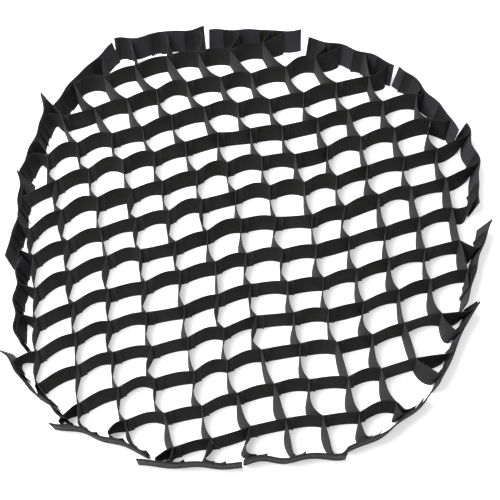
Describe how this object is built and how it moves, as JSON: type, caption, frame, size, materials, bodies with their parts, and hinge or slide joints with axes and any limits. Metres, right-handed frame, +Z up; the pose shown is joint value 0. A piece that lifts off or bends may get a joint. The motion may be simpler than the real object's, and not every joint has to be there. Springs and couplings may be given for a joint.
{
  "type": "egg-crate grid for a softbox",
  "caption": "Round cloth egg-crate grid of crossed strips on edge, closed by hook-faced rim bands, for the front of a softbox.",
  "frame": {"origin": "on the table under the middle of the grid", "axes": "+Z up, row strips along X, column strips along Y"},
  "size_m": [0.8408, 0.8408, 0.05],
  "materials": {
    "row_cloth": "matt black woven cloth",
    "column_cloth": "matt black woven cloth, a little greyer",
    "band_cloth": "matt black webbing",
    "hook_tape": "dark grey hook tape"
  },
  "bodies": {
    "row_01": {"row_strip_01": "row_cloth"},
    "column_01": {"column_strip_01": "column_cloth"},
    "row_02": {"row_strip_02": "row_cloth"},
    "column_02": {"column_strip_02": "column_cloth"},
    "row_03": {"row_strip_03": "row_cloth"},
    "column_03": {"column_strip_03": "column_cloth"},
    "row_04": {"row_strip_04": "row_cloth"},
    "column_04": {"column_strip_04": "column_cloth"},
    "row_05": {"row_strip_05": "row_cloth"},
    "column_05": {"column_strip_05": "column_cloth"},
    "row_06": {"row_strip_06": "row_cloth"},
    "column_06": {"column_strip_06": "column_cloth"},
    "row_07": {"row_strip_07": "row_cloth"},
    "column_07": {"column_strip_07": "column_cloth"},
    "row_08": {"row_strip_08": "row_cloth"},
    "column_08": {"column_strip_08": "column_cloth"},
    "row_09": {"row_strip_09": "row_cloth"},
    "column_09": {"column_strip_09": "column_cloth"},
    "row_10": {"row_strip_10": "row_cloth"},
    "column_10": {"column_strip_10": "column_cloth"},
    "row_11": {"row_strip_11": "row_cloth"},
    "column_11": {"column_strip_11": "column_cloth"},
    "row_12": {"row_strip_12": "row_cloth"},
    "column_12": {"column_strip_12": "column_cloth"},
    "row_13": {"row_strip_13": "row_cloth"},
    "column_13": {"column_strip_13": "column_cloth"},
    "rim_01": {"rim_band_01": "band_cloth", "hook_tape_01": "hook_tape"},
    "rim_02": {"rim_band_02": "band_cloth", "hook_tape_02": "hook_tape"},
    "rim_03": {"rim_band_03": "band_cloth", "hook_tape_03": "hook_tape"},
    "rim_04": {"rim_band_04": "band_cloth", "hook_tape_04": "hook_tape"},
    "rim_05": {"rim_band_05": "band_cloth", "hook_tape_05": "hook_tape"},
    "rim_06": {"rim_band_06": "band_cloth", "hook_tape_06": "hook_tape"},
    "rim_07": {"rim_band_07": "band_cloth", "hook_tape_07": "hook_tape"},
    "rim_08": {"rim_band_08": "band_cloth", "hook_tape_08": "hook_tape"},
    "rim_09": {"rim_band_09": "band_cloth", "hook_tape_09": "hook_tape"},
    "rim_10": {"rim_band_10": "band_cloth", "hook_tape_10": "hook_tape"},
    "rim_11": {"rim_band_11": "band_cloth", "hook_tape_11": "hook_tape"},
    "rim_12": {"rim_band_12": "band_cloth", "hook_tape_12": "hook_tape"},
    "rim_13": {"rim_band_13": "band_cloth", "hook_tape_13": "hook_tape"},
    "rim_14": {"rim_band_14": "band_cloth", "hook_tape_14": "hook_tape"},
    "rim_15": {"rim_band_15": "band_cloth", "hook_tape_15": "hook_tape"},
    "rim_16": {"rim_band_16": "band_cloth", "hook_tape_16": "hook_tape"}
  },
  "joints": [
    {"name": "lattice_skew", "type": "hinge", "parent": "row_07", "child": "column_07", "pos_m": [0, 0, 0], "axis": [0, 0, 1], "range_deg": [-8, 8]},
    {"name": "column_turn_01", "type": "hinge", "parent": "row_07", "child": "column_01", "pos_m": [-0.36, 0, 0], "axis": [0, 0, 1], "range_deg": [-8.2, 8.2]},
    {"name": "row_swing_01", "type": "hinge", "parent": "column_07", "child": "row_01", "pos_m": [0, -0.36, 0], "axis": [0, 0, 1], "range_deg": [-8.2, 8.2]},
    {"name": "column_turn_02", "type": "hinge", "parent": "row_07", "child": "column_02", "pos_m": [-0.3, 0, 0], "axis": [0, 0, 1], "range_deg": [-8.2, 8.2]},
    {"name": "row_swing_02", "type": "hinge", "parent": "column_07", "child": "row_02", "pos_m": [0, -0.3, 0], "axis": [0, 0, 1], "range_deg": [-8.2, 8.2]},
    {"name": "column_turn_03", "type": "hinge", "parent": "row_07", "child": "column_03", "pos_m": [-0.24, 0, 0], "axis": [0, 0, 1], "range_deg": [-8.2, 8.2]},
    {"name": "row_swing_03", "type": "hinge", "parent": "column_07", "child": "row_03", "pos_m": [0, -0.24, 0], "axis": [0, 0, 1], "range_deg": [-8.2, 8.2]},
    {"name": "column_turn_04", "type": "hinge", "parent": "row_07", "child": "column_04", "pos_m": [-0.18, 0, 0], "axis": [0, 0, 1], "range_deg": [-8.2, 8.2]},
    {"name": "row_swing_04", "type": "hinge", "parent": "column_07", "child": "row_04", "pos_m": [0, -0.18, 0], "axis": [0, 0, 1], "range_deg": [-8.2, 8.2]},
    {"name": "column_turn_05", "type": "hinge", "parent": "row_07", "child": "column_05", "pos_m": [-0.12, 0, 0], "axis": [0, 0, 1], "range_deg": [-8.2, 8.2]},
    {"name": "row_swing_05", "type": "hinge", "parent": "column_07", "child": "row_05", "pos_m": [0, -0.12, 0], "axis": [0, 0, 1], "range_deg": [-8.2, 8.2]},
    {"name": "column_turn_06", "type": "hinge", "parent": "row_07", "child": "column_06", "pos_m": [-0.06, 0, 0], "axis": [0, 0, 1], "range_deg": [-8.2, 8.2]},
    {"name": "row_swing_06", "type": "hinge", "parent": "column_07", "child": "row_06", "pos_m": [0, -0.06, 0], "axis": [0, 0, 1], "range_deg": [-8.2, 8.2]},
    {"name": "column_turn_08", "type": "hinge", "parent": "row_07", "child": "column_08", "pos_m": [0.06, 0, 0], "axis": [0, 0, 1], "range_deg": [-8.2, 8.2]},
    {"name": "row_swing_08", "type": "hinge", "parent": "column_07", "child": "row_08", "pos_m": [0, 0.06, 0], "axis": [0, 0, 1], "range_deg": [-8.2, 8.2]},
    {"name": "column_turn_09", "type": "hinge", "parent": "row_07", "child": "column_09", "pos_m": [0.12, 0, 0], "axis": [0, 0, 1], "range_deg": [-8.2, 8.2]},
    {"name": "row_swing_09", "type": "hinge", "parent": "column_07", "child": "row_09", "pos_m": [0, 0.12, 0], "axis": [0, 0, 1], "range_deg": [-8.2, 8.2]},
    {"name": "column_turn_10", "type": "hinge", "parent": "row_07", "child": "column_10", "pos_m": [0.18, 0, 0], "axis": [0, 0, 1], "range_deg": [-8.2, 8.2]},
    {"name": "row_swing_10", "type": "hinge", "parent": "column_07", "child": "row_10", "pos_m": [0, 0.18, 0], "axis": [0, 0, 1], "range_deg": [-8.2, 8.2]},
    {"name": "column_turn_11", "type": "hinge", "parent": "row_07", "child": "column_11", "pos_m": [0.24, 0, 0], "axis": [0, 0, 1], "range_deg": [-8.2, 8.2]},
    {"name": "row_swing_11", "type": "hinge", "parent": "column_07", "child": "row_11", "pos_m": [0, 0.24, 0], "axis": [0, 0, 1], "range_deg": [-8.2, 8.2]},
    {"name": "column_turn_12", "type": "hinge", "parent": "row_07", "child": "column_12", "pos_m": [0.3, 0, 0], "axis": [0, 0, 1], "range_deg": [-8.2, 8.2]},
    {"name": "row_swing_12", "type": "hinge", "parent": "column_07", "child": "row_12", "pos_m": [0, 0.3, 0], "axis": [0, 0, 1], "range_deg": [-8.2, 8.2]},
    {"name": "column_turn_13", "type": "hinge", "parent": "row_07", "child": "column_13", "pos_m": [0.36, 0, 0], "axis": [0, 0, 1], "range_deg": [-8.2, 8.2]},
    {"name": "row_swing_13", "type": "hinge", "parent": "column_07", "child": "row_13", "pos_m": [0, 0.36, 0], "axis": [0, 0, 1], "range_deg": [-8.2, 8.2]},
    {"name": "rim_turn_01", "type": "hinge", "parent": "row_07", "child": "rim_01", "pos_m": [0.403, 0, 0], "axis": [0, 0, 1], "range_deg": [-8.2, 8.2]},
    {"name": "rim_turn_02", "type": "hinge", "parent": "row_10", "child": "rim_02", "pos_m": [0.36922, 0.18, 0], "axis": [0, 0, 1], "range_deg": [-7.04, 7.04]},
    {"name": "rim_turn_03", "type": "hinge", "parent": "row_12", "child": "rim_03", "pos_m": [0.26993, 0.3, 0], "axis": [0, 0, 1], "range_deg": [-4.2, 4.2]},
    {"name": "rim_turn_04", "type": "hinge", "parent": "column_10", "child": "rim_04", "pos_m": [0.18, 0.36922, 0], "axis": [0, 0, 1], "range_deg": [-7.04, 7.04]},
    {"name": "rim_turn_05", "type": "hinge", "parent": "column_07", "child": "rim_05", "pos_m": [0, 0.403, 0], "axis": [0, 0, 1], "range_deg": [-8.2, 8.2]},
    {"name": "rim_turn_06", "type": "hinge", "parent": "column_04", "child": "rim_06", "pos_m": [-0.18, 0.36922, 0], "axis": [0, 0, 1], "range_deg": [-7.04, 7.04]},
    {"name": "rim_turn_07", "type": "hinge", "parent": "column_02", "child": "rim_07", "pos_m": [-0.3, 0.26993, 0], "axis": [0, 0, 1], "range_deg": [-4.2, 4.2]},
    {"name": "rim_turn_08", "type": "hinge", "parent": "row_10", "child": "rim_08", "pos_m": [-0.36922, 0.18, 0], "axis": [0, 0, 1], "range_deg": [-7.04, 7.04]},
    {"name": "rim_turn_09", "type": "hinge", "parent": "row_07", "child": "rim_09", "pos_m": [-0.403, 0, 0], "axis": [0, 0, 1], "range_deg": [-8.2, 8.2]},
    {"name": "rim_turn_10", "type": "hinge", "parent": "row_04", "child": "rim_10", "pos_m": [-0.36922, -0.18, 0], "axis": [0, 0, 1], "range_deg": [-7.04, 7.04]},
    {"name": "rim_turn_11", "type": "hinge", "parent": "row_02", "child": "rim_11", "pos_m": [-0.26993, -0.3, 0], "axis": [0, 0, 1], "range_deg": [-4.2, 4.2]},
    {"name": "rim_turn_12", "type": "hinge", "parent": "column_04", "child": "rim_12", "pos_m": [-0.18, -0.36922, 0], "axis": [0, 0, 1], "range_deg": [-7.04, 7.04]},
    {"name": "rim_turn_13", "type": "hinge", "parent": "column_07", "child": "rim_13", "pos_m": [0, -0.403, 0], "axis": [0, 0, 1], "range_deg": [-8.2, 8.2]},
    {"name": "rim_turn_14", "type": "hinge", "parent": "column_10", "child": "rim_14", "pos_m": [0.18, -0.36922, 0], "axis": [0, 0, 1], "range_deg": [-7.04, 7.04]},
    {"name": "rim_turn_15", "type": "hinge", "parent": "row_02", "child": "rim_15", "pos_m": [0.26993, -0.3, 0], "axis": [0, 0, 1], "range_deg": [-4.2, 4.2]},
    {"name": "rim_turn_16", "type": "hinge", "parent": "row_04", "child": "rim_16", "pos_m": [0.36922, -0.18, 0], "axis": [0, 0, 1], "range_deg": [-7.04, 7.04]}
  ],
  "couplings": [
    {"joint": "column_turn_01", "follows": "lattice_skew", "ratio": 1},
    {"joint": "row_swing_01", "follows": "lattice_skew", "ratio": -1},
    {"joint": "column_turn_02", "follows": "lattice_skew", "ratio": 1},
    {"joint": "row_swing_02", "follows": "lattice_skew", "ratio": -1},
    {"joint": "column_turn_03", "follows": "lattice_skew", "ratio": 1},
    {"joint": "row_swing_03", "follows": "lattice_skew", "ratio": -1},
    {"joint": "column_turn_04", "follows": "lattice_skew", "ratio": 1},
    {"joint": "row_swing_04", "follows": "lattice_skew", "ratio": -1},
    {"joint": "column_turn_05", "follows": "lattice_skew", "ratio": 1},
    {"joint": "row_swing_05", "follows": "lattice_skew", "ratio": -1},
    {"joint": "column_turn_06", "follows": "lattice_skew", "ratio": 1},
    {"joint": "row_swing_06", "follows": "lattice_skew", "ratio": -1},
    {"joint": "column_turn_08", "follows": "lattice_skew", "ratio": 1},
    {"joint": "row_swing_08", "follows": "lattice_skew", "ratio": -1},
    {"joint": "column_turn_09", "follows": "lattice_skew", "ratio": 1},
    {"joint": "row_swing_09", "follows": "lattice_skew", "ratio": -1},
    {"joint": "column_turn_10", "follows": "lattice_skew", "ratio": 1},
    {"joint": "row_swing_10", "follows": "lattice_skew", "ratio": -1},
    {"joint": "column_turn_11", "follows": "lattice_skew", "ratio": 1},
    {"joint": "row_swing_11", "follows": "lattice_skew", "ratio": -1},
    {"joint": "column_turn_12", "follows": "lattice_skew", "ratio": 1},
    {"joint": "row_swing_12", "follows": "lattice_skew", "ratio": -1},
    {"joint": "column_turn_13", "follows": "lattice_skew", "ratio": 1},
    {"joint": "row_swing_13", "follows": "lattice_skew", "ratio": -1},
    {"joint": "rim_turn_01", "follows": "lattice_skew", "ratio": 1},
    {"joint": "rim_turn_02", "follows": "lattice_skew", "ratio": 0.8547},
    {"joint": "rim_turn_03", "follows": "lattice_skew", "ratio": 0.5},
    {"joint": "rim_turn_04", "follows": "lattice_skew", "ratio": -0.8547},
    {"joint": "rim_turn_05", "follows": "lattice_skew", "ratio": -1},
    {"joint": "rim_turn_06", "follows": "lattice_skew", "ratio": -0.8547},
    {"joint": "rim_turn_07", "follows": "lattice_skew", "ratio": -0.5},
    {"joint": "rim_turn_08", "follows": "lattice_skew", "ratio": 0.8547},
    {"joint": "rim_turn_09", "follows": "lattice_skew", "ratio": 1},
    {"joint": "rim_turn_10", "follows": "lattice_skew", "ratio": 0.8547},
    {"joint": "rim_turn_11", "follows": "lattice_skew", "ratio": 0.5},
    {"joint": "rim_turn_12", "follows": "lattice_skew", "ratio": -0.8547},
    {"joint": "rim_turn_13", "follows": "lattice_skew", "ratio": -1},
    {"joint": "rim_turn_14", "follows": "lattice_skew", "ratio": -0.8547},
    {"joint": "rim_turn_15", "follows": "lattice_skew", "ratio": 0.5},
    {"joint": "rim_turn_16", "follows": "lattice_skew", "ratio": 0.8547}
  ]
}
